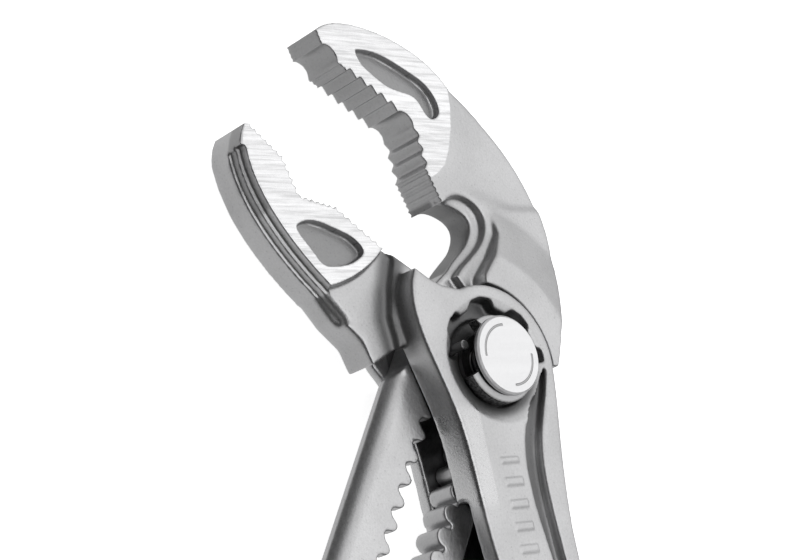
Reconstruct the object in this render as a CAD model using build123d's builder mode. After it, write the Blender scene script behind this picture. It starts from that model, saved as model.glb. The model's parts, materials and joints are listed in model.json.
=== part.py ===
"""Tongue and groove pliers with a push-button box joint, 250 mm size.

The pliers lie flat. +Z is the button side, z = 0 is the surface they lie on, and the
joint axis runs along Z through the origin. The head points along +X. At rest the
levers are spread and the bolt stands in the first position of the slot.
"""

import os
from math import cos, radians, sin

from build123d import *

# Driving dimensions, millimetres and degrees
JOINT_TOP = 14.2
JOINT_BOTTOM = 0.6
WINDOW_TOP = 8.75
WINDOW_BOTTOM = 3.3
TONGUE_TOP = 8.6
TONGUE_BOTTOM = 3.4
TEETH_BOTTOM = 6.5
JAW_TOP = 10.25
JAW_BOTTOM = 2.75
BOSS_TOP = 13.4
BOSS_BOTTOM = 1.0
HANDLE_TOP = 10.2
HANDLE_BOTTOM = 2.8
GRIP_TOP = 13.0
SLOT_ANGLE = 145.0
ROW_PITCH = 3.95
FIRST_NOTCH = -6.2
LEFT_ROOT = 6.2
RIGHT_CREST = -2.35
RIGHT_ROOT = -4.4
TONGUE_LEFT = 13.0
LEFT_TOOTH = [(0.0, 6.2), (0.55, 5.7), (1.0, 4.9), (1.5, 4.42), (2.1, 4.42), (2.65, 4.85),
    (2.9, 5.7), (3.3, 6.15)]
TONGUE_RIGHT = -8.1
HUB_RADIUS = 12.1
NEST_RADIUS = 12.8
FLOOR_TOP = 10.9
BUTTON_TOP = 17.0
BUTTON_RADIUS = 6.2
COLLAR_RADIUS = 6.84
COLLAR_BORE = 7.1
REAR_JOURNAL = 6.4
NEAR_JOURNAL = 4.45
STUB_RADIUS = 3.4
STEM_RADIUS = 2.2
RUNNING_GAP = 0.05
BOTTOM = (Align.CENTER, Align.CENTER, Align.MIN)

SLOT_PLANE = Plane(
    origin=(0, 0, 0),
    x_dir=(cos(radians(SLOT_ANGLE)), sin(radians(SLOT_ANGLE)), 0),
    z_dir=(0, 0, 1),
)


def polar(radius, angle):
    """Point at a radius and an angle in degrees round the joint axis."""
    return (radius * cos(radians(angle)), radius * sin(radians(angle)))


def slot_point(s, e):
    """Plan point for a distance s along the slot and e across it to the left."""
    across = SLOT_ANGLE - 90
    return (
        s * cos(radians(SLOT_ANGLE)) + e * cos(radians(across)),
        s * sin(radians(SLOT_ANGLE)) + e * sin(radians(across)),
    )


def along(start, end, share):
    """Point a given share of the way from start to end."""
    return (start[0] + (end[0] - start[0]) * share, start[1] + (end[1] - start[1]) * share)


def teeth(start, end, count, depth, lean=0.5):
    """Saw-tooth points from start to end, with the valleys to the right of the way."""
    length = ((end[0] - start[0]) ** 2 + (end[1] - start[1]) ** 2) ** 0.5
    right = ((end[1] - start[1]) / length, -(end[0] - start[0]) / length)
    points = [start]
    for tooth in range(count):
        valley = along(start, end, (tooth + lean) / count)
        points.append((valley[0] + right[0] * depth, valley[1] + right[1] * depth))
        points.append(along(start, end, (tooth + 1) / count))
    return points


def ribbon(path, widths):
    """Left and right edge points of a band that follows a path."""
    left = []
    right = []
    for number, point in enumerate(path):
        before = path[max(number - 1, 0)]
        after = path[min(number + 1, len(path) - 1)]
        run = ((after[0] - before[0]) ** 2 + (after[1] - before[1]) ** 2) ** 0.5
        side = (-(after[1] - before[1]) / run, (after[0] - before[0]) / run)
        half = widths[number] / 2
        left.append((point[0] + side[0] * half, point[1] + side[1] * half))
        right.append((point[0] - side[0] * half, point[1] - side[1] * half))
    return left, right


def band_face(path, widths):
    """Draw a handle band with a square start and a round end in the open sketch."""
    left, right = ribbon(path, widths)
    run = (path[-1][0] - path[-2][0], path[-1][1] - path[-2][1])
    length = (run[0] ** 2 + run[1] ** 2) ** 0.5
    reach = widths[-1] / 2 / length
    tip = (path[-1][0] + run[0] * reach, path[-1][1] + run[1] * reach)
    with BuildLine() as outline:
        Line(right[0], left[0])
        Spline(*left)
        ThreePointArc(left[-1], tip, right[-1])
        Spline(*reversed(right))
    make_face(outline.edges())


# Lower jaw: the gripping edge from the root to the tip, then the back
LOWER_EDGE = [(19.1, 14.3), (25.4, 21.8), (27.0, 28.3), (33.0, 30.0), (37.9, 34.9)]
LOWER_EDGE_TEETH = [(7, 0.5), (6, 0.5), (5, 0.5), (6, 0.5)]
LOWER_BACK = [(36.4, 36.9), (33.9, 37.6), (30.4, 37.3), (25.8, 35.9), (21.8, 33.9), (17.8, 31.3),
    (12.6, 27.0)]
LOWER_POCKET = [
    (22.6, 29.6), (23.1, 27.8), (21.8, 22.6), (19.8, 19.0),
    (18.6, 18.3), (17.0, 20.0), (16.1, 23.6), (16.3, 26.3), (18.6, 28.1),
]

# Upper jaw: the gripping edge from the nose to the throat, then the back of the head
NOSE = (54.0, 18.6)
STEP_START = (47.6, 14.0)
STEP_END = (41.4, 5.2)
COARSE_START = (38.8, 2.7)
FINE_START = (32.0, 2.2)
FINE_END = (26.5, 0.4)
THROAT = [(26.9, 0.3), (26.5, -3.2), (23.9, -6.3), (21.6, -5.6), (18.9, -2.9), (16.0, 0.6)]
THROAT_STEP = [(27.3, -1.6), (27.6, -5.0), (24.6, -8.0), (21.4, -7.4), (18.0, -4.0), (14.6, 0.4)]
HEAD_TOP = [(54.0, 18.6), (55.3, 15.6), (55.3, 9.9), (52.9, 1.8), (49.4, -3.7), (46.0, -6.6)]
HEAD_BACK = [(46.0, -6.6), (40.8, -12.6), (33.9, -17.8), (26.8, -20.8), (20.8, -21.7),
    (14.4, -20.8), (6.9, -17.8), (-1.2, -13.9)]
UPPER_POCKET = [
    (51.3, 11.1), (51.1, 7.9), (48.0, 0.8), (45.2, -2.7), (41.0, -3.0),
    (40.6, -1.4), (43.3, 0.4), (45.2, 5.4), (47.6, 9.2), (50.2, 11.2),
]

# Box joint and handles
NECK_RIGHT = [(-6.4, -11.3), (-12.8, -10.1), (-25.4, -8.4), (-36.0, -8.4), (-48.0, -10.2), (-62.0, -12.9)]
NECK_LEFT = [(-62.0, -0.7), (-50.0, 3.4), (-38.0, 7.2), (-28.0, 8.9), (-17.4, 9.5), (-8.9, 10.2),
    (1.8, 13.1), (5.7, 14.0), (9.5, 14.2), (12.8, 13.5)]
LOWER_PATH = [(-60.0, -6.4), (-78.0, -10.4), (-100.0, -14.0), (-125.0, -17.8), (-150.0, -20.0),
    (-170.0, -20.6), (-186.0, -20.2)]
UPPER_PATH = [
    slot_point(s, e)
    for s, e in ((62.0, 3.4), (80.0, 3.2), (104.0, 4.2), (130.0, 4.4), (155.0, 1.4), (174.0, -3.4),
        (188.0, -7.6))
]
HANDLE_WIDTHS = [12.4, 12.0, 11.4, 11.0, 10.6, 10.2, 9.4]
CORE_WIDTHS = [15.4, 15.0, 14.6, 14.4, 13.6]
OVERLAY_WIDTHS = [22.0, 18.6, 18.0, 17.6, 17.4, 17.0]


def make_lower_jaw_lever():
    """Front lever: lower jaw, box joint with its window, neck and steel handle."""
    with BuildPart() as lever:
        # Box joint and neck
        with BuildSketch(Plane.XY.offset(JOINT_BOTTOM)):
            with BuildLine():
                Polyline((14.9, 12.4), (13.1, 10.0), (12.0, 7.6), polar(HUB_RADIUS, 20))
                ThreePointArc(polar(HUB_RADIUS, 20), polar(HUB_RADIUS, -36), polar(HUB_RADIUS, -92))
                Spline(polar(HUB_RADIUS, -92), *NECK_RIGHT)
                Line(NECK_RIGHT[-1], NECK_LEFT[0])
                Spline(*NECK_LEFT)
                Line(NECK_LEFT[-1], (14.9, 12.4))
            make_face()
        extrude(amount=JOINT_TOP - JOINT_BOTTOM)
        with BuildSketch(Plane.XY.offset(JOINT_BOTTOM)):
            band_face(LOWER_PATH, HANDLE_WIDTHS)
        extrude(amount=JOINT_TOP - JOINT_BOTTOM)
        # The neck thins towards the handle
        with BuildSketch(Plane.XZ):
            with BuildLine():
                Polyline((60, JOINT_TOP), (-52, JOINT_TOP), (-74, HANDLE_TOP), (-220, HANDLE_TOP))
                Line((-220, HANDLE_TOP), (-220, HANDLE_BOTTOM))
                Polyline((-220, HANDLE_BOTTOM), (-74, HANDLE_BOTTOM), (-58, JOINT_BOTTOM),
                    (60, JOINT_BOTTOM))
                Line((60, JOINT_BOTTOM), (60, JOINT_TOP))
            make_face()
        extrude(amount=80, both=True, mode=Mode.INTERSECT)
        # Jaw with its gripping edge
        with BuildSketch(Plane.XY.offset(JAW_BOTTOM)):
            with BuildLine():
                for side, (count, depth) in enumerate(LOWER_EDGE_TEETH):
                    Polyline(*teeth(LOWER_EDGE[side], LOWER_EDGE[side + 1], count, -depth))
                Polyline(LOWER_EDGE[-1], (37.9, 36.0), LOWER_BACK[0])
                Spline(*LOWER_BACK)
                Polyline(LOWER_BACK[-1], (8.6, 24.4), (5.0, 21.0), (1.3, 19.9))
                Polyline((1.3, 19.9), (3.2, 15.6), (5.0, 9.0), (15.0, 8.0), (18.0, 12.4), LOWER_EDGE[0])
            make_face()
        extrude(amount=JAW_TOP - JAW_BOTTOM)
        # Roots of the two cheeks on the jaw
        with BuildSketch(Plane.XY.offset(JOINT_BOTTOM + 0.5)):
            with BuildLine():
                Polyline((-1.2, 12.4), (2.3, 14.9), (7.4, 16.6), (12.0, 19.6), (17.0, 17.4),
                    (18.4, 13.6), (14.9, 12.0), (-1.2, 12.4))
            make_face()
        extrude(amount=2.4)
        with BuildSketch(Plane.XY.offset(WINDOW_TOP - 0.2)):
            with BuildLine():
                Polyline((1.6, 12.6), (4.2, 15.2), (8.2, 15.6), (13.0, 14.4), (16.6, 13.0),
                    (14.9, 12.0), (1.6, 12.6))
            make_face()
        extrude(amount=2.6, taper=14)
        # Valley between the ground face of the jaw and the joint face
        with BuildSketch(Plane.XY.offset(WINDOW_TOP + 0.25)):
            with BuildLine():
                ThreePointArc((12.6, 27.0), (14.6, 20.2), (18.8, 14.0))
                Polyline((18.8, 14.0), (17.6, 12.6), (13.2, 14.5), (8.2, 15.8), (4.2, 15.4),
                    (-2.0, 16.0), (6.0, 28.0), (12.6, 27.0))
            make_face()
        extrude(amount=4, taper=-16, mode=Mode.SUBTRACT)
        # Ledges along the back of the jaw, below the ground face
        for low, high, depth in ((7.2, 8.6, 0.55), (8.6, 10.3, 1.2)):
            inner = [(x + depth * 0.42, y - depth * 0.9) for x, y in LOWER_BACK[1:]]
            with BuildSketch(Plane.XY.offset(low)):
                with BuildLine():
                    Spline(*inner)
                    Polyline(inner[-1], (8.0, 23.4 - depth), (4.0, 30.0), (20.0, 44.0),
                        (36.0, 44.0), inner[0])
                make_face()
            extrude(amount=high - low, mode=Mode.SUBTRACT)
        # Window for the tongue, through both sides of the joint
        with BuildSketch(Plane.XY.offset(WINDOW_BOTTOM)):
            with BuildLine():
                Polyline(
                    (-54.0, 1.9), (-3.6, -7.8), (2.0, -13.6), (2.0, -30.0), (40.0, -30.0), (40.0, 5.8),
                    (6.3, 12.4), (3.2, 15.6), (1.3, 19.9), (-1.0, 26.0), (-54.0, 30.0), close=True,
                )
            make_face()
        extrude(amount=WINDOW_TOP - WINDOW_BOTTOM, mode=Mode.SUBTRACT)
        # The window reaches higher where the tongue enters beside the neck
        with BuildSketch(Plane.XY.offset(WINDOW_TOP - 0.2)):
            with BuildLine():
                Polyline((-20.4, 14.0), (-20.6, 7.2), (-24.0, 5.5), (-30.0, 4.6), (-36.0, 5.4),
                    (-40.0, 14.0), close=True)
            make_face()
        extrude(amount=2.4, mode=Mode.SUBTRACT)
        # Pockets in both ground faces of the jaw
        for face, way in ((JAW_TOP, -1.3), (JAW_BOTTOM, 1.3)):
            with BuildSketch(Plane.XY.offset(face)):
                with BuildLine():
                    Spline(*LOWER_POCKET, periodic=True)
                make_face()
            extrude(amount=way, mode=Mode.SUBTRACT)
        # Bores for the bolt, the button collar and the guide pin
        with Locations((0, 0, JOINT_BOTTOM)):
            Cylinder(REAR_JOURNAL + RUNNING_GAP, 4, align=BOTTOM, mode=Mode.SUBTRACT)
        with Locations((0, 0, WINDOW_TOP - 1)):
            Cylinder(NEAR_JOURNAL + RUNNING_GAP, 6, align=BOTTOM, mode=Mode.SUBTRACT)
        with Locations((0, 0, FLOOR_TOP)):
            Cylinder(COLLAR_BORE, 5, align=BOTTOM, mode=Mode.SUBTRACT)
        with Locations((0, 0, JOINT_TOP - 1.0)):
            Cone(COLLAR_BORE + 0.2, 9.9, 1.0, align=BOTTOM, mode=Mode.SUBTRACT)
        # Deep half of the recess, with lands that point at the button
        with BuildSketch(Plane.XY.offset(11.6)):
            with BuildLine():
                Polyline(
                    (0, 0), polar(9.8, 86), polar(8.8, 80), polar(8.6, 66), polar(9.8, 61), polar(10.0, 50),
                    polar(9.8, 39), polar(8.6, 35), polar(8.5, 22), polar(9.7, 15), polar(10.0, 3),
                    polar(9.8, -10), polar(8.6, -16), polar(8.6, -31), polar(9.8, -36), polar(10.1, -47),
                    polar(10.0, -57), polar(9.1, -62), polar(9.1, -78), polar(10.2, -82),
                    polar(10.2, -93), close=True,
                )
            make_face()
        extrude(amount=4, mode=Mode.SUBTRACT)
        # Shallow groove from the recess down the neck
        with BuildSketch(Plane.XY.offset(JOINT_TOP - 1.7)):
            with BuildLine():
                Spline((-0.5, -10.4), (-6.6, -8.3), (-12.2, -5.9), (-23.1, -4.7), (-44.0, -4.6))
                Line((-44.0, -4.6), (-44.0, -3.2))
                Spline((-44.0, -3.2), (-25.9, -2.1), (-13.2, -2.4), (-9.6, -3.8), (-5.6, -7.0))
                Line((-5.6, -7.0), (-0.5, -10.4))
            make_face()
        extrude(amount=2, mode=Mode.SUBTRACT)
        with Locations((*polar(6.15, 65), FLOOR_TOP - 2.1)):
            Cylinder(0.75, 3, align=BOTTOM, mode=Mode.SUBTRACT)
    return lever


def make_head_boss():
    """Lens-shaped boss of the slotted lever, before it is trimmed to the head."""
    with BuildPart() as lens:
        with BuildSketch(Plane.XZ):
            with BuildLine():
                Polyline(
                    (NEST_RADIUS, BOSS_BOTTOM), (17.9, BOSS_BOTTOM), (28.6, JAW_BOTTOM + 0.3),
                    (28.6, JAW_TOP - 0.3), (17.9, BOSS_TOP), (NEST_RADIUS, BOSS_TOP), close=True,
                )
            make_face()
        revolve(axis=Axis.Z)
        with BuildSketch(Plane.XY):
            with BuildLine():
                Polyline((33.5, -2.4), (29.4, -5.6), (24.9, -9.6), (21.4, -9.2), (17.6, -6.2),
                    (13.9, -2.6), (0, 0), (-1.2, -13.9))
                Spline(*reversed(HEAD_BACK[3:]))
                Line(HEAD_BACK[3], (33.5, -2.4))
            make_face()
        extrude(amount=20, mode=Mode.INTERSECT)
    return lens


def make_upper_jaw_lever():
    """Slotted lever: upper jaw, boss, toothed tongue and steel handle."""
    lens = make_head_boss()
    with BuildPart() as lever:
        # Jaw and head, cut round for the hub
        with BuildSketch(Plane.XY.offset(JAW_BOTTOM)):
            with BuildLine():
                Polyline(*teeth(NOSE, (51.7, 18.0), 3, -0.35))
                ThreePointArc((51.7, 18.0), (50.9, 15.9), (48.9, 15.5))
                Polyline((48.9, 15.5), *teeth((48.6, 15.2), STEP_START, 2, -0.35))
                Polyline(*teeth(STEP_START, STEP_END, 5, -0.95, 0.24))
                ThreePointArc(STEP_END, (40.6, 3.0), COARSE_START)
                Polyline(*teeth(COARSE_START, FINE_START, 3, -0.9))
                Polyline(*teeth(FINE_START, FINE_END, 6, -0.5))
                Line(FINE_END, THROAT_STEP[0])
                Spline(*THROAT_STEP)
                Line(THROAT_STEP[-1], polar(NEST_RADIUS, -3))
                ThreePointArc(polar(NEST_RADIUS, -3), polar(NEST_RADIUS, -48), polar(NEST_RADIUS, -95))
                Line(polar(NEST_RADIUS, -95), HEAD_BACK[-1])
                Spline(*reversed(HEAD_BACK))
                Spline(*reversed(HEAD_TOP))
            make_face()
        extrude(amount=JAW_TOP - JAW_BOTTOM)
        add(lens.part)
        # Plate and tongue between the cheeks
        with BuildSketch(Plane.XY.offset(TONGUE_BOTTOM)):
            with BuildLine():
                Line((32.0, -6.0), THROAT[0])
                Spline(*THROAT)
                Polyline(
                    THROAT[-1], (13.8, 4.0), slot_point(6.4, 11.2), slot_point(9.6, TONGUE_LEFT),
                    slot_point(57.0, TONGUE_LEFT), slot_point(64.0, 9.4), slot_point(64.0, -2.6),
                    slot_point(58.0, TONGUE_RIGHT), slot_point(-9.0, TONGUE_RIGHT),
                    (2.2, -14.0), (14.0, -18.0), (32.0, -6.0),
                )
            make_face()
            fillet([vertex for vertex in vertices() if vertex.X < -30], 3)
        extrude(amount=TONGUE_TOP - TONGUE_BOTTOM)
        with BuildSketch(Plane.XY.offset(TONGUE_BOTTOM)):
            band_face(UPPER_PATH, HANDLE_WIDTHS)
        extrude(amount=TONGUE_TOP - TONGUE_BOTTOM)
        # Slot with its two rows of teeth
        last = FIRST_NOTCH
        end = last + 16 * ROW_PITCH
        with BuildSketch(Plane.XY.offset(TONGUE_BOTTOM)):
            with BuildLine():
                row = [(last, LEFT_ROOT)]
                for notch in range(16):
                    row += [(last + notch * ROW_PITCH + step, e) for step, e in LEFT_TOOTH]
                Polyline(*[slot_point(*point) for point in row[1:]])
                Line(slot_point(*row[-1]), slot_point(end, LEFT_ROOT))
                ThreePointArc(
                    slot_point(end, LEFT_ROOT), slot_point(end + 1.2, 0.6), slot_point(end, RIGHT_ROOT),
                )
                for lug in range(14):
                    middle = end - 5.6 - lug * ROW_PITCH
                    start = slot_point(middle + 1.5, RIGHT_ROOT)
                    stop = slot_point(middle - 1.5, RIGHT_ROOT)
                    before = end if lug == 0 else middle + ROW_PITCH - 1.5
                    Line(slot_point(before, RIGHT_ROOT), start)
                    ThreePointArc(start, slot_point(middle, RIGHT_CREST), stop)
                Line(stop, slot_point(last, RIGHT_ROOT))
                ThreePointArc(
                    slot_point(last, RIGHT_ROOT), slot_point(last - 0.8, 0),
                    slot_point(last, LEFT_ROOT),
                )
            make_face()
        extrude(amount=TONGUE_TOP - TONGUE_BOTTOM, mode=Mode.SUBTRACT)
        # The left row is relieved below its teeth, where the pressed key slides
        with BuildSketch(Plane.XY.offset(TONGUE_BOTTOM)):
            with BuildLine():
                Polyline(
                    slot_point(last, LEFT_ROOT), slot_point(end, LEFT_ROOT),
                    slot_point(end, 2), slot_point(last, 2), close=True,
                )
            make_face()
        extrude(amount=TEETH_BOTTOM - TONGUE_BOTTOM, mode=Mode.SUBTRACT)
        # Pockets in both ground faces of the jaw
        for face, way in ((JAW_TOP, -1.3), (JAW_BOTTOM, 1.3)):
            with BuildSketch(Plane.XY.offset(face)):
                with BuildLine():
                    Spline(*UPPER_POCKET, periodic=True)
                make_face()
            extrude(amount=way, mode=Mode.SUBTRACT)
    return lever


def make_joint_bolt():
    """Bolt with a rear head and journal, flats for the slot and a stub for the sleeve."""
    with BuildPart() as bolt:
        Cylinder(7.6, JOINT_BOTTOM - RUNNING_GAP, align=BOTTOM)
        chamfer(bolt.faces().sort_by(Axis.Z)[0].edges(), 0.2)
        Cylinder(REAR_JOURNAL, TONGUE_BOTTOM - 0.1, align=BOTTOM)
        with BuildSketch(SLOT_PLANE):
            Circle(6.3)
            with Locations((0, -1.925)):
                Rectangle(14, 8.25, mode=Mode.INTERSECT)
        extrude(amount=TEETH_BOTTOM - 0.1)
        with BuildSketch(SLOT_PLANE):
            Circle(5.6)
            with Locations((0, -1.0)):
                Rectangle(14, 6.4, mode=Mode.INTERSECT)
        extrude(amount=TONGUE_TOP)
        with Locations((0, 0, TONGUE_TOP)):
            Cylinder(STUB_RADIUS, 1.2, align=BOTTOM)
        # Cross slot for the key and bore for the stem
        with BuildSketch(SLOT_PLANE.offset(4.3)):
            Rectangle(4.6, 14)
        extrude(amount=TONGUE_TOP - 4.4, mode=Mode.SUBTRACT)
        with Locations((0, 0, 4.3)):
            Cylinder(STEM_RADIUS + RUNNING_GAP, 8, align=BOTTOM, mode=Mode.SUBTRACT)
    return bolt


def make_bolt_sleeve():
    """Flanged sleeve pressed on the bolt; it runs in the front cheek and seats the spring."""
    with BuildPart() as sleeve:
        with Locations((0, 0, TONGUE_TOP + 0.02)):
            Cylinder(NEAR_JOURNAL, 2.9, align=BOTTOM)
            Cylinder(STUB_RADIUS, 2.9, align=BOTTOM, mode=Mode.SUBTRACT)
        with Locations((0, 0, FLOOR_TOP + 0.08)):
            Cylinder(4.85, 0.7, align=BOTTOM)
            Cylinder(STUB_RADIUS, 0.7, align=BOTTOM, mode=Mode.SUBTRACT)
    return sleeve


def make_push_button():
    """Button head, waisted collar and stem."""
    with BuildPart() as button:
        with BuildSketch(Plane.XZ):
            with BuildLine():
                Polyline(
                    (0, 13.9), (0, BUTTON_TOP), (5.9, BUTTON_TOP), (BUTTON_RADIUS, BUTTON_TOP - 0.25),
                    (BUTTON_RADIUS, 16.2), (5.3, 16.0), (5.3, 15.5), (5.96, 15.45), (COLLAR_RADIUS, 14.9),
                    (COLLAR_RADIUS, 13.1), (5.25, 13.1), (5.25, 13.9), close=True,
                )
            make_face()
        revolve(axis=Axis.Z)
        # Gap in the collar that clears the guide pin
        with BuildSketch(Plane.XY.offset(13.0)):
            with BuildLine():
                Polyline(
                    polar(4.8, 110), polar(9.0, 112), polar(9.6, 64), polar(9.0, 26),
                    polar(4.8, 28), polar(4.6, 64), close=True,
                )
            make_face()
        extrude(amount=2.46, mode=Mode.SUBTRACT)
        with Locations((0, 0, 8.45)):
            Cylinder(STEM_RADIUS, 6, align=BOTTOM)
        with Locations((0, 0, 6.7)):
            Cylinder(1.5, 3, align=BOTTOM)
        with Locations(Location(Plane(origin=(0, 0, 7.5), x_dir=(0, 0, 1), z_dir=SLOT_PLANE.x_dir))):
            Cylinder(0.5, 8, mode=Mode.SUBTRACT)
    return button


def make_locking_key():
    """Cross key on the stem, between the two rows of teeth and clear of both."""
    with BuildPart() as key:
        with BuildSketch(SLOT_PLANE.offset(6.6)):
            with BuildLine():
                Polyline(
                    (-2.2, -3.7), (-1.2, -4.2), (-0.4, -4.2), (0.2, -3.7), (1.0, -4.2), (2.2, -4.0),
                    (2.2, 2.0), (1.1, 2.2), (0.2, 2.0), (-0.8, 2.2), (-2.2, 2.0), close=True,
                )
            make_face()
        extrude(amount=1.85)
        Cylinder(1.5, 20, mode=Mode.SUBTRACT)
        with Locations(Location(Plane(origin=(0, 0, 7.5), x_dir=(0, 0, 1), z_dir=SLOT_PLANE.x_dir))):
            Cylinder(0.5, 8, mode=Mode.SUBTRACT)
    return key


def make_key_pin():
    """Cross pin that ties the key to the stem."""
    with BuildPart() as pin:
        with Locations(Location(Plane(origin=(0, 0, 7.5), x_dir=(0, 0, 1), z_dir=SLOT_PLANE.x_dir))):
            Cylinder(0.5, 4.4)
    return pin


def make_button_spring():
    """Compression spring between the bolt stub and the button."""
    bottom = TONGUE_TOP + 1.2 + 0.32
    height = 13.9 - 0.32 - bottom
    with BuildPart() as spring:
        with BuildLine(Plane.XY.offset(bottom)):
            coil = Helix(pitch=height / 3.5, height=height, radius=2.85)
        with BuildSketch(Plane(origin=coil @ 0, z_dir=coil % 0)):
            Circle(0.3)
        sweep(path=coil)
    return spring


def make_guide_pin():
    """Small pin in the front cheek that stops the button collar."""
    with BuildPart() as pin:
        with Locations((*polar(6.15, 65), FLOOR_TOP - 2.1)):
            Cylinder(0.75, 5.2, align=BOTTOM)
        chamfer(pin.faces().sort_by(Axis.Z)[-1].edges(), 0.15)
    return pin


def make_grip_core(path, bottom, top):
    """Hard inner shell of a grip round the steel handle."""
    with BuildPart() as core:
        with BuildSketch(Plane.XY.offset(1.6)):
            band_face(path[2:], CORE_WIDTHS)
        extrude(amount=GRIP_TOP - 3.2)
        with BuildSketch(Plane.XY.offset(bottom)):
            band_face(path, HANDLE_WIDTHS)
        extrude(amount=top - bottom, mode=Mode.SUBTRACT)
    return core


def make_grip_overlay(path, bottom, top):
    """Soft outer skin of a grip, open where the hard shell shows."""
    start = along(path[1], path[2], 0.78)
    with BuildPart() as skin:
        for inset, narrower in ((0, 4.4), (0.9, 2.0), (2.2, 0.7), (3.8, 0)):
            with BuildSketch(Plane.XY.offset(inset)):
                band_face([start, *path[2:]], [width - narrower for width in OVERLAY_WIDTHS])
            extrude(amount=GRIP_TOP - 2 * inset)
        with BuildSketch(Plane.XY.offset(1.6)):
            band_face(path[2:], CORE_WIDTHS)
        extrude(amount=GRIP_TOP - 3.2, mode=Mode.SUBTRACT)
        with BuildSketch(Plane.XY.offset(bottom)):
            band_face(path, HANDLE_WIDTHS)
        extrude(amount=top - bottom, mode=Mode.SUBTRACT)
        window = [along(path[2], path[3], 0.35), path[3], path[4], along(path[4], path[5], 0.6)]
        with BuildSketch(Plane.XY):
            band_face(window, [6.0, 8.0, 7.6, 6.0])
        extrude(amount=GRIP_TOP, mode=Mode.SUBTRACT)
    return skin


os.makedirs("parts", exist_ok=True)
made = {
    "lower_jaw_lever": make_lower_jaw_lever(),
    "upper_jaw_lever": make_upper_jaw_lever(),
    "joint_bolt": make_joint_bolt(),
    "bolt_sleeve": make_bolt_sleeve(),
    "push_button": make_push_button(),
    "locking_key": make_locking_key(),
    "key_pin": make_key_pin(),
    "button_spring": make_button_spring(),
    "guide_pin": make_guide_pin(),
    "lower_grip_core": make_grip_core(LOWER_PATH, HANDLE_BOTTOM, HANDLE_TOP),
    "lower_grip_overlay": make_grip_overlay(LOWER_PATH, HANDLE_BOTTOM, HANDLE_TOP),
    "upper_grip_core": make_grip_core(UPPER_PATH, TONGUE_BOTTOM, TONGUE_TOP),
    "upper_grip_overlay": make_grip_overlay(UPPER_PATH, TONGUE_BOTTOM, TONGUE_TOP),
}
for name, piece in made.items():
    piece.part.label = name
    export_step(piece.part, f"parts/{name}.step")
    print(name, round(piece.part.volume, 1), piece.part.is_valid, len(piece.part.solids()))
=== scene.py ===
import json
import math

import bpy
import numpy as np
from mathutils import Matrix, Vector

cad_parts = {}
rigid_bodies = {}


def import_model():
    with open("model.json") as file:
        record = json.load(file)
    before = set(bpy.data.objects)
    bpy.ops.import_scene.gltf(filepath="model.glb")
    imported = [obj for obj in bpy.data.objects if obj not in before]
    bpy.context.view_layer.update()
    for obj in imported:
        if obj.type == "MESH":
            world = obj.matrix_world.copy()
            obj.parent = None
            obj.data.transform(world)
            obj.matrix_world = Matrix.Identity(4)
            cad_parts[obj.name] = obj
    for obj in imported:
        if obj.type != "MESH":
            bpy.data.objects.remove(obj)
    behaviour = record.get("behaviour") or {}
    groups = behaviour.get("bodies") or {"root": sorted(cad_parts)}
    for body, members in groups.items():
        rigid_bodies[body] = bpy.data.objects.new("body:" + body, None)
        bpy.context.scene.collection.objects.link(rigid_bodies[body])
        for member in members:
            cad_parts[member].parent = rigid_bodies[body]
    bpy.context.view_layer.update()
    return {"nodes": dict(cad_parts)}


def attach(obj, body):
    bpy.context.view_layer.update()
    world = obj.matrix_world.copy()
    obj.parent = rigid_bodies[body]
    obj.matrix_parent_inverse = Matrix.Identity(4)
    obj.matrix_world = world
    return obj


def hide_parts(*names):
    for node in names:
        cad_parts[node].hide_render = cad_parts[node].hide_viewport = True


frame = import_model()
nodes = frame["nodes"]
mm = 0.001

for item in bpy.data.objects:
    if item.type in {"LIGHT", "CAMERA"}:
        bpy.data.objects.remove(item)

print("camera")
cameraSet = {"position": (-0.06038, 0.22619, 0.23893), "lens": 96.75, "lift": 18, "turn": 41.646}
cameraData = bpy.data.cameras.new("camera")
cameraData.lens = cameraSet["lens"]
cameraData.sensor_width = 36
cameraData.clip_start = 0.01
cameraData.clip_end = 20
camera = bpy.data.objects.new("camera", cameraData)
bpy.context.scene.collection.objects.link(camera)
lift = math.radians(cameraSet["lift"])
turn = math.radians(cameraSet["turn"])
cameraRight = (-math.sin(lift) * math.sin(turn), -math.cos(turn), math.cos(lift) * math.sin(turn))
cameraUp = (math.cos(lift), 0, math.sin(lift))
cameraBack = (-math.sin(lift) * math.cos(turn), math.sin(turn), math.cos(lift) * math.cos(turn))
camera.matrix_world = Matrix(list(zip(cameraRight, cameraUp, cameraBack, cameraSet["position"]))).to_4x4()
bpy.context.scene.camera = camera


class Field:
    # A shader value that takes part in sums and products like a number.
    def __init__(self, tree, socket):
        self.tree = tree
        self.socket = socket

    def op(self, kind, *others):
        node = self.tree.nodes.new("ShaderNodeMath")
        node.operation = kind
        for index, value in enumerate((self, *others)):
            if isinstance(value, Field):
                self.tree.links.new(value.socket, node.inputs[index])
            else:
                node.inputs[index].default_value = value
        return Field(self.tree, node.outputs[0])

    def __add__(self, other):
        return self.op("ADD", other)

    def __radd__(self, other):
        return self.op("ADD", other)

    def __sub__(self, other):
        return self.op("SUBTRACT", other)

    def __rsub__(self, other):
        return (self * -1) + other

    def __mul__(self, other):
        return self.op("MULTIPLY", other)

    def __rmul__(self, other):
        return self.op("MULTIPLY", other)

    def __pow__(self, other):
        return self.op("POWER", other)

    def step(self, low, high):
        node = self.tree.nodes.new("ShaderNodeMapRange")
        node.interpolation_type = "SMOOTHSTEP"
        node.inputs["From Min"].default_value = low
        node.inputs["From Max"].default_value = high
        self.tree.links.new(self.socket, node.inputs["Value"])
        return Field(self.tree, node.outputs["Result"])


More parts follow.
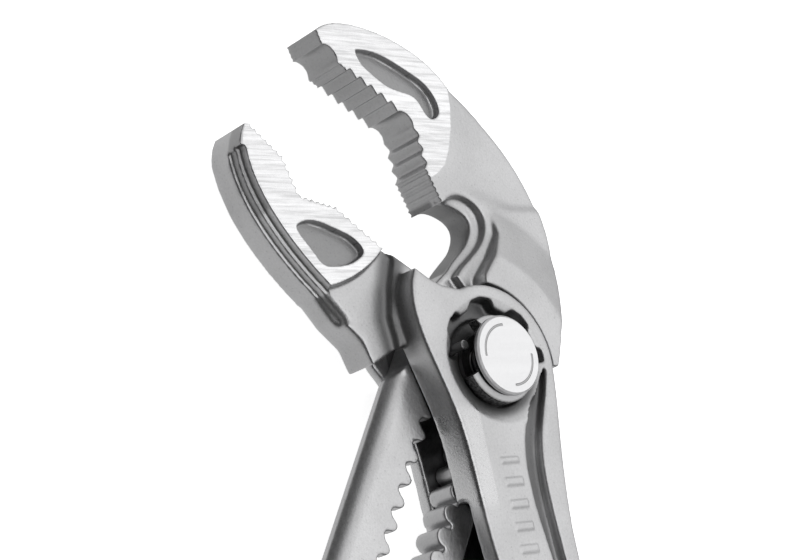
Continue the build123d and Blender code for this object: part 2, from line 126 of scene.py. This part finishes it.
class Look:
    # One material: a principled shader and helpers for its pattern.
    def __init__(self, name):
        self.material = bpy.data.materials.new(name)
        self.material.use_nodes = True
        self.tree = self.material.node_tree
        self.shader = self.tree.nodes["Principled BSDF"]
        self.place = self.tree.nodes.new("ShaderNodeTexCoord").outputs["Object"]

    def add(self, kind, **settings):
        node = self.tree.nodes.new("ShaderNode" + kind)
        for key, value in settings.items():
            if key in {"Scale", "Detail", "Roughness", "Distortion", "Lacunarity", "W", "Randomness"}:
                node.inputs[key].default_value = value
            else:
                setattr(node, key, value)
        return node

    def coords(self, scale=(1, 1, 1), turn=(0, 0, 0)):
        node = self.add("Mapping")
        self.tree.links.new(self.place, node.inputs["Vector"])
        node.inputs["Scale"].default_value = scale
        node.inputs["Rotation"].default_value = [math.radians(a) for a in turn]
        return node.outputs["Vector"]

    def axes(self):
        node = self.add("SeparateXYZ")
        self.tree.links.new(self.place, node.inputs[0])
        return [Field(self.tree, out) * 1000 for out in node.outputs]

    def noise(self, scale, detail=3.0, rough=0.5, vector=None):
        node = self.add("TexNoise", Scale=scale, Detail=detail, Roughness=rough)
        self.tree.links.new(vector or self.place, node.inputs["Vector"])
        return Field(self.tree, node.outputs["Fac"])

    def spots(self, scale):
        node = self.add("TexVoronoi", Scale=scale)
        self.tree.links.new(self.place, node.inputs["Vector"])
        return Field(self.tree, node.outputs["Distance"])

    def mark(self, name):
        node = self.add("Attribute", attribute_name=name)
        return Field(self.tree, node.outputs["Fac"])

    def shade(self, dark, light, factor):
        node = self.add("Mix", data_type="RGBA")
        node.inputs[6].default_value = (*dark, 1)
        node.inputs[7].default_value = (*light, 1)
        self.tree.links.new(factor.socket, node.inputs[0])
        return node.outputs[2]

    def layer(self, below, color, factor):
        node = self.add("Mix", data_type="RGBA")
        self.tree.links.new(below, node.inputs[6])
        node.inputs[7].default_value = (*color, 1)
        self.tree.links.new(factor.socket, node.inputs[0])
        return node.outputs[2]

    def feed(self, name, value):
        target = self.shader.inputs[name]
        if isinstance(value, Field):
            self.tree.links.new(value.socket, target)
        elif hasattr(value, "is_output"):
            self.tree.links.new(value, target)
        else:
            target.default_value = value

    def bump(self, height, depth):
        node = self.add("Bump")
        node.inputs["Distance"].default_value = depth
        node.inputs["Strength"].default_value = 1.0
        self.tree.links.new(height.socket, node.inputs["Height"])
        self.tree.links.new(node.outputs["Normal"], self.shader.inputs["Normal"])


def grey(value):
    return (value, value, value * 1.01)


def forgedLook(name, settings):
    look = Look(name)
    ground = look.mark("ground")
    # This attribute holds the painted shade mask.
    recess = look.mark("recess")
    machined = look.mark("machined")
    cloud = look.noise(90, 4)
    grain = look.noise(2600, 3, 0.65)
    speck = look.spots(1500).step(0.10, 0.34)
    mottle = cloud.step(0.3, 0.7) * 0.5 + grain.step(0.3, 0.7) * 0.5
    base = look.shade(grey(settings["dark"]), grey(settings["light"]), mottle)
    base = look.layer(base, grey(settings["speck"]), (1 - speck) * grain.step(0.45, 0.6) * 0.5)
    streakPlace = look.coords((1, 0.05, 1), (0, 0, settings["streakTurn"]))
    streak = look.noise(2600, 4, 0.6, streakPlace)
    wide = look.noise(500, 3, 0.6, streakPlace)
    polish = look.shade(grey(0.56), grey(0.86), streak.step(0.3, 0.62) * 0.7 + wide.step(0.3, 0.7) * 0.3)
    mix = look.add("Mix", data_type="RGBA")
    look.tree.links.new(base, mix.inputs[6])
    look.tree.links.new(polish, mix.inputs[7])
    look.tree.links.new(ground.step(0.35, 0.65).socket, mix.inputs[0])
    # Painted shade: near-black colour laid over hollows, gaps and creases where shadow falls.
    shade = look.layer(mix.outputs[2], grey(settings["recess"]), recess * 0.9)
    look.feed("Base Color", shade)
    look.feed("Metallic", 1.0)
    finish = grain * 0.22 + settings["rough"] + recess * 0.12
    look.feed("Roughness", finish - ground * 0.12 - machined * 0.14)
    look.bump(grain * (1 - ground * 0.8) + streak * ground * 0.5 + cloud * 0.4, 0.00004)
    return look.material


def plainMetal(name, value, rough):
    look = Look(name)
    grain = look.noise(3200, 3, 0.6)
    cloud = look.noise(400, 3)
    look.feed("Base Color", look.shade(grey(value * 0.75), grey(value), grain * 0.5 + cloud * 0.5))
    look.feed("Metallic", 1.0)
    look.feed("Roughness", grain * 0.2 + rough)
    look.bump(grain, 0.00003)
    return look.material


def distanceTo(points, line, closed=False):
    # Distance of plan points to a broken line, in the line's unit.
    line = np.array(line, float)
    if closed:
        line = np.vstack([line, line[:1]])
    best = np.full(len(points), 1e9)
    for start, end in zip(line[:-1], line[1:]):
        run = end - start
        share = np.clip(((points - start) @ run) / (run @ run), 0, 1)
        gap = points - start - share[:, None] * run
        best = np.minimum(best, np.hypot(gap[:, 0], gap[:, 1]))
    return best


def inside(points, line):
    line = np.array(line, float)
    result = np.zeros(len(points), bool)
    for (x1, y1), (x2, y2) in zip(line, np.roll(line, -1, axis=0)):
        if y1 == y2:
            continue
        cross = (y1 > points[:, 1]) != (y2 > points[:, 1])
        result ^= cross & (points[:, 0] < (x2 - x1) * (points[:, 1] - y1) / (y2 - y1) + x1)
    return result


def signedTo(points, line):
    gap = distanceTo(points, line, True)
    return np.where(inside(points, line), -gap, gap)


def rise(value, low, high):
    share = np.clip((value - low) / (high - low), 0, 1)
    return share * share * (3 - 2 * share)


def voxelCopy(node, name, voxel):
    piece = bpy.data.objects.new(name, nodes[node].data.copy())
    bpy.context.scene.collection.objects.link(piece)
    piece.data.materials.clear()
    remesh = piece.modifiers.new("remesh", "REMESH")
    remesh.mode = "VOXEL"
    remesh.voxel_size = voxel
    remesh.use_smooth_shade = True
    view = bpy.context.evaluated_depsgraph_get()
    mesh = bpy.data.meshes.new_from_object(piece.evaluated_get(view))
    piece.modifiers.clear()
    piece.data = mesh
    mesh.name = name
    return piece


def readPoints(mesh):
    spots = np.empty(len(mesh.vertices) * 3)
    mesh.vertices.foreach_get("co", spots)
    return spots.reshape(-1, 3) * 1000


def writePoints(mesh, spots):
    mesh.vertices.foreach_set("co", (spots / 1000).ravel())
    mesh.update()


def relax(mesh, spots, weight, rounds):
    # Laplacian smoothing in which each vertex moves by its own weight.
    pairs = np.empty(len(mesh.edges) * 2, np.int64)
    mesh.edges.foreach_get("vertices", pairs)
    first, second = pairs[::2], pairs[1::2]
    count = len(spots)
    near = np.bincount(first, minlength=count) + np.bincount(second, minlength=count)
    near = np.maximum(near, 1)
    for number in range(rounds):
        middle = np.empty_like(spots)
        for axis in range(3):
            value = spots[:, axis]
            middle[:, axis] = (
                np.bincount(first, value[second], count) + np.bincount(second, value[first], count)
            ) / near
        spots = spots + (middle - spots) * (weight * 0.55)[:, None]
    return spots


def paint(mesh, name, values):
    layer = mesh.attributes.new(name, "FLOAT", "POINT")
    layer.data.foreach_set("value", np.asarray(values, np.float32))


def wear(piece, look, body, node):
    piece.data.materials.append(look)
    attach(piece, body)
    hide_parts(node)


print("front lever")
# The 0.05 grey in these settings is the colour of the painted shade in hollows and gaps.
frontLook = {
    "dark": 0.50, "light": 0.64, "speck": 0.34, "recess": 0.05, "rough": 0.30,
    "streakTurn": 30, "voxel": 0.2,
}
lowerPad = [
    (37.7, 36.0), (38.0, 34.6), (33.0, 30.0), (27.0, 28.4), (25.4, 21.8), (19.0, 14.3),
    (18.7, 14.2), (16.7, 16.5), (14.7, 19.8), (13.3, 23.0), (12.7, 26.6), (17.6, 30.9),
    (21.8, 33.5), (25.8, 35.5),
    (30.4, 36.8), (33.9, 37.2), (36.4, 36.5),
]
front = voxelCopy("lower_jaw_lever", "frontLever", frontLook["voxel"] * mm)
mesh = front.data
spots = readPoints(mesh)
plan = spots[:, :2]
top = spots[:, 2]
pad = signedTo(plan, lowerPad)
radius = np.hypot(plan[:, 0], plan[:, 1])
toothEdge = distanceTo(plan, [(37.9, 35.4), (33.0, 30.0), (27.0, 28.3), (25.4, 21.8), (19.1, 14.3)])
crisp = np.maximum(rise(-pad, -0.9, -0.3) * (plan[:, 0] > 12), 1 - rise(toothEdge, 0.9, 1.8))
crisp = np.maximum(crisp, (1 - rise(radius, 10.2, 11.2)) * 0.72)
windowEdge = (top > 2.9) & (top < 9.2) & (plan[:, 0] < 4)
crisp = np.where(windowEdge, np.maximum(crisp, 0.55), crisp)
rounds = 30
spots = relax(mesh, spots, 1 - crisp * 0.97, rounds)
# A plain row of ribs on the neck.
lean = np.abs(plan[:, 0] % 3.4 - 1.7)
neck = (plan[:, 0] > -32) & (plan[:, 0] < -15) & (plan[:, 1] > 0.2) & (plan[:, 1] < 3.8)
level = np.percentile(spots[neck, 2], 98)
spots[:, 2] += neck * (1 - rise(lean, 0.4, 0.8)) * rise(spots[:, 2], level - 0.5, level - 0.3) * 0.25
writePoints(mesh, spots)
paint(mesh, "ground", rise(-pad, -0.15, 0.1) * rise(top, 10.0, 10.2))
# Painted shade in the hollow around the bolt hole, between z 9.5 and 14 mm.
recess = (1 - rise(radius, 9.7, 10.2)) * (1 - rise(spots[:, 2], 13.3, 14.0)) * rise(spots[:, 2], 9.5, 10.0)
# Painted shade along the groove beside the neck, where the slope falls into shadow.
neckLine = distanceTo(plan, [
    (-1.5, -9.8), (-6.0, -7.7), (-10.5, -5.2), (-14, -4.0), (-23, -3.4), (-44, -3.9),
])
grooveShade = (1 - rise(neckLine, 0.7, 1.8)) * (1 - rise(spots[:, 2], 13.2, 14.1))
grooveShade = grooveShade * rise(spots[:, 2], 11, 12)
# Painted shade in the valley between the jaw and the hub.
valleyLine = distanceTo(plan, [(18.0, 12.4), (15.0, 13.6), (12.0, 14.6), (8.0, 15.8), (3.0, 15.2)])
valleyShade = (1 - rise(valleyLine, 0.8, 3.2)) * (1 - rise(spots[:, 2], 10.6, 13.2))
valleyShade = valleyShade * rise(spots[:, 2], 8.2, 8.8)
# Painted shade in the pocket sunk into the lower jaw.
pocketFrontShade = inside(plan, [
    (22.6, 29.6), (23.1, 27.8), (21.8, 22.6), (19.8, 19.0), (18.6, 18.3), (17.0, 20.0),
    (16.1, 23.6), (16.3, 26.3), (18.6, 28.1),
])
pocketFrontShade = pocketFrontShade * (1 - rise(spots[:, 2], 9.9, 10.15)) * (top > 8)
# Painted shade on the ledge under the jaw's ground face.
ledgeShade = rise(-distanceTo(plan, lowerPad[13:]), -2.2, -1.2)
ledgeShade = ledgeShade * rise(spots[:, 2], 7.0, 7.6) * (1 - rise(spots[:, 2], 9.8, 10.1))
# Painted shade inside the joint window, which lies in shadow between the cheeks.
windowShade = (plan[:, 1] < 12) * rise(spots[:, 2], 3.0, 3.5)
windowShade = windowShade * (1 - rise(spots[:, 2], 8.4, 8.9)) * (plan[:, 0] < 16)
# The painted-shade masks above are merged and stored as one darkening attribute.
dark = np.maximum.reduce([
    recess * 0.85, windowShade * 0.8, grooveShade * 0.75, valleyShade * 0.75, pocketFrontShade * 0.5, ledgeShade * 0.35,
])
paint(mesh, "recess", dark)
windowEnds = rise(plan[:, 0], -23, -21) * (1 - rise(plan[:, 0], -8, -6))
paint(mesh, "machined", windowEnds * (plan[:, 1] > 6))
wear(front, forgedLook("forgedFront", frontLook), "front_lever", "lower_jaw_lever")

print("slotted lever")
# The 0.05 grey in these settings is the colour of the painted shade in hollows and gaps.
backLook = {
    "dark": 0.50, "light": 0.64, "speck": 0.34, "recess": 0.05, "rough": 0.30,
    "streakTurn": 35, "voxel": 0.2,
}
upperPad = [
    (54.1, 18.2), (55.1, 16.0), (55.5, 13.5), (55.3, 9.9), (54.4, 5.9), (52.9, 1.8),
    (51.1, -1.2), (49.4, -3.7), (46.0, -6.4), (43.0, -6.2), (39.0, -5.2), (35.4, -3.7),
    (32.9, -2.2), (31.4, -0.2), (30.4, 1.8), (31.8, 2.2),
    (38.8, 2.7), (40.6, 3.0), (41.4, 5.2), (47.6, 14.0), (48.9, 15.5), (51.4, 16.2), (51.7, 18.0),
]
upperTeeth = [
    (54.0, 18.6), (51.7, 18.0), (50.9, 15.9), (47.6, 14.0), (41.4, 5.2), (40.6, 3.0),
    (32.0, 2.2), (26.5, 0.4),
]
slotted = voxelCopy("upper_jaw_lever", "slottedLever", backLook["voxel"] * mm)
mesh = slotted.data
spots = readPoints(mesh)
plan = spots[:, :2]
top = spots[:, 2]
pad = signedTo(plan, upperPad)
radius = np.hypot(plan[:, 0], plan[:, 1])
slotSide = plan @ np.array([math.cos(math.radians(55)), math.sin(math.radians(55))])
slotWay = plan @ np.array([math.cos(math.radians(145)), math.sin(math.radians(145))])
toothEdge = distanceTo(plan, upperTeeth)
crisp = np.maximum(rise(-pad, -0.7, -0.2), 1 - rise(toothEdge, 1.1, 2.0))
crisp = np.maximum(crisp, (1 - rise(radius, 13.4, 14.6)) * 0.8)
inSlot = (slotWay > -12) & (slotWay < 60)
crisp = np.maximum(crisp, inSlot * 0.86 * (slotSide < 9))
# The back of the head falls away from the ground face in a soft roll.
fall = rise(pad, 0.0, 9.0) * (plan[:, 0] > 26) * rise(radius, 27.5, 31)
middle = (10.25 + 2.75) / 2
spots[:, 2] = middle + (top - middle) * (1 - 0.16 * fall)
# The tongue's outer edge is fully rounded.
over = np.clip((slotSide - 10.3) / 2.75, 0, 0.97) * (slotWay > 8) * (slotWay < 60) * (top < 9)
spots[:, 2] = np.where(over > 0, 6.0 + (spots[:, 2] - 6.0) * np.sqrt(1 - over ** 2), spots[:, 2])
spots = relax(mesh, spots, 1 - crisp * 0.97, rounds)
writePoints(mesh, spots)
# Painted shade in the pocket sunk into the upper jaw.
pocketBackShade = inside(plan, [
    (51.3, 11.1), (51.1, 7.9), (48.0, 0.8), (45.2, -2.7), (41.0, -3.0), (40.6, -1.4),
    (43.3, 0.4), (45.2, 5.4), (47.6, 9.2), (50.2, 11.2),
])
pocketBackShade = pocketBackShade * (1 - rise(top, 9.9, 10.15)) * (top > 8)
# Light painted shade on the tooth faces below the ground face.
toothFaceShade = (1 - rise(toothEdge, 1.2, 1.8)) * (1 - rise(top, 9.9, 10.1)) * rise(top, 2.9, 3.1)
paint(mesh, "ground", rise(-pad, -0.15, 0.1) * rise(top, 10.0, 10.2))
# Painted shade in the crease along the throat.
throatLine = distanceTo(plan, [
    (26.9, 0.3), (26.5, -3.2), (23.9, -6.3), (21.6, -5.6), (18.9, -2.9), (16.0, 0.6),
])
throatShade = (1 - rise(throatLine, 0.3, 1.2)) * (1 - rise(top, 7.6, 8.5))
# The painted-shade masks are merged and stored as one darkening attribute.
dark = np.maximum.reduce([toothFaceShade * 0.2, pocketBackShade * 0.45, throatShade * 0.7])
paint(mesh, "recess", dark)
paint(mesh, "machined", inSlot * rise(top, 8.0, 8.4) * (top < 8.7) * 0.6)
wear(slotted, forgedLook("forgedSlotted", backLook), "slotted_lever", "upper_jaw_lever")

print("button and bolt")
buttonLook = Look("buttonFace")
across, along, up = buttonLook.axes()
face = up.step(16.75, 16.95)
fine = buttonLook.noise(2400, 3, 0.6)
lathe = buttonLook.noise(700, 2, 0.5, buttonLook.coords((1, 0.04, 1), (0, 0, 20)))
# Painted shade: everything below the button face is coloured near black to dark grey, the face above light.
side = buttonLook.shade(grey(0.10), grey(0.34), fine.step(0.35, 0.65))
faceTone = buttonLook.shade(grey(0.70), grey(0.84), lathe * 0.6 + fine * 0.4)
mix = buttonLook.add("Mix", data_type="RGBA")
buttonLook.tree.links.new(side, mix.inputs[6])
buttonLook.tree.links.new(faceTone, mix.inputs[7])
buttonLook.tree.links.new(up.step(14.85, 15.1).socket, mix.inputs[0])
reach = (across * across + along * along) ** 0.5
# Painted shadow: the gap between collar and button is coloured almost black.
waistShadow = up.step(15.44, 15.5) * (1 - up.step(16.15, 16.22))
tone = buttonLook.layer(mix.outputs[2], grey(0.02), waistShadow)
# Painted shade on two opposite quarters of the ring line on the button face; the bump also sinks it.
ringShade = (1 - (reach - 4.7).op("ABSOLUTE").step(0.10, 0.2)) * face * (across * along).step(-0.5, 0.5)
buttonLook.feed("Base Color", buttonLook.layer(tone, grey(0.33), ringShade * 0.8))
buttonLook.feed("Metallic", 1.0)
buttonLook.feed("Roughness", fine * 0.2 + 0.26 + (1 - face) * 0.15)
buttonLook.bump(fine + ringShade * -4, 0.00003)

looks = {
    "push_button": buttonLook.material,
    "joint_bolt": plainMetal("boltSteel", 0.42, 0.28),
    "bolt_sleeve": plainMetal("sleeveSteel", 0.30, 0.3),
    "locking_key": plainMetal("keySteel", 0.36, 0.3),
    "key_pin": plainMetal("pinSteel", 0.5, 0.25),
    "button_spring": plainMetal("springSteel", 0.35, 0.22),
    "guide_pin": plainMetal("guideSteel", 0.62, 0.3),
}
for name, look in looks.items():
    piece = nodes[name]
    piece.data.materials.clear()
    piece.data.materials.append(look)

print("grips")
gripSet = {"voxel": 0.45, "rounds": 40}


def softLook(name, value, rough, grainScale, depth):
    look = Look(name)
    grain = look.spots(grainScale)
    dust = look.noise(140, 4)
    look.feed("Base Color", look.shade([value * 0.7] * 3, [value * 1.25] * 3, dust.step(0.3, 0.7)))
    look.feed("Roughness", dust * 0.15 + rough)
    look.bump(grain.step(0.0, 0.5) + dust * 0.3, depth)
    return look.material


skinLook = softLook("gripRubber", 0.035, 0.62, 1700, 0.00008)
shellLook = softLook("gripShell", 0.11, 0.42, 2600, 0.00004)
for side, body in (("lower", "front_lever"), ("upper", "slotted_lever")):
    for part, look, slotName in (("overlay", skinLook, "grip_overlay"), ("core", shellLook, "grip_core")):
        node = f"{side}_grip_{part}"
        piece = voxelCopy(node, f"{side}Grip{part.title()}", gripSet["voxel"] * mm)
        spots = readPoints(piece.data)
        spots = relax(piece.data, spots, np.ones(len(spots)), gripSet["rounds"] if part == "overlay" else 8)
        writePoints(piece.data, spots)
        wear(piece, look, body, node)

print("floor and light")
floorLook = Look("floorPaper")
floorLook.feed("Base Color", floorLook.shade((0.90, 0.90, 0.90), (0.93, 0.93, 0.93), floorLook.noise(6, 2)))
floorLook.feed("Roughness", 0.9)
floorLook.feed("Emission Color", (1, 1, 1, 1))
floorLook.feed("Emission Strength", 0.8)
bpy.ops.mesh.primitive_plane_add(size=6, location=(0, 0, 0))
floor = bpy.context.object
floor.name = "floor"
floor.data.materials.append(floorLook.material)
floor.visible_glossy = False
floor.visible_diffuse = False
floor.visible_shadow = False


def softbox(name, place, target, size, power):
    data = bpy.data.lights.new(name, "AREA")
    data.shape = "RECTANGLE"
    data.size = size
    data.size_y = size
    data.energy = power
    lamp = bpy.data.objects.new(name, data)
    bpy.context.scene.collection.objects.link(lamp)
    lamp.location = place
    lamp.rotation_euler = (Vector(target) - Vector(place)).to_track_quat("-Z", "Y").to_euler()


softbox("backSoftbox", (0.28, -0.80, 0.86), (0.02, 0, 0), 0.7, 0.7)
softbox("topSoftbox", (-0.1, 0.1, 1.3), (0, 0, 0), 1.0, 2.0)

# A white table below, a black band behind the camera and a light wall beyond.
world = bpy.data.worlds.new("studio")
world.use_nodes = True
bpy.context.scene.world = world
tree = world.node_tree
split = tree.nodes.new("ShaderNodeSeparateXYZ")
tree.links.new(tree.nodes.new("ShaderNodeTexCoord").outputs["Generated"], split.inputs[0])
east, north, height = [Field(tree, out) for out in split.outputs]
beyond = east * 0.33 - north * 0.944
above = (height + beyond * 0.62).step(0.30, 0.78) * 0.76
below = (1 - (height + beyond * -0.1).step(-0.62, -0.25)) * 0.72
total = above + below + 0.06
tree.nodes["Background"].inputs["Color"].default_value = (1, 1, 1, 1)
tree.links.new(total.socket, tree.nodes["Background"].inputs["Strength"])

bpy.context.scene.view_settings.view_transform = "Standard"
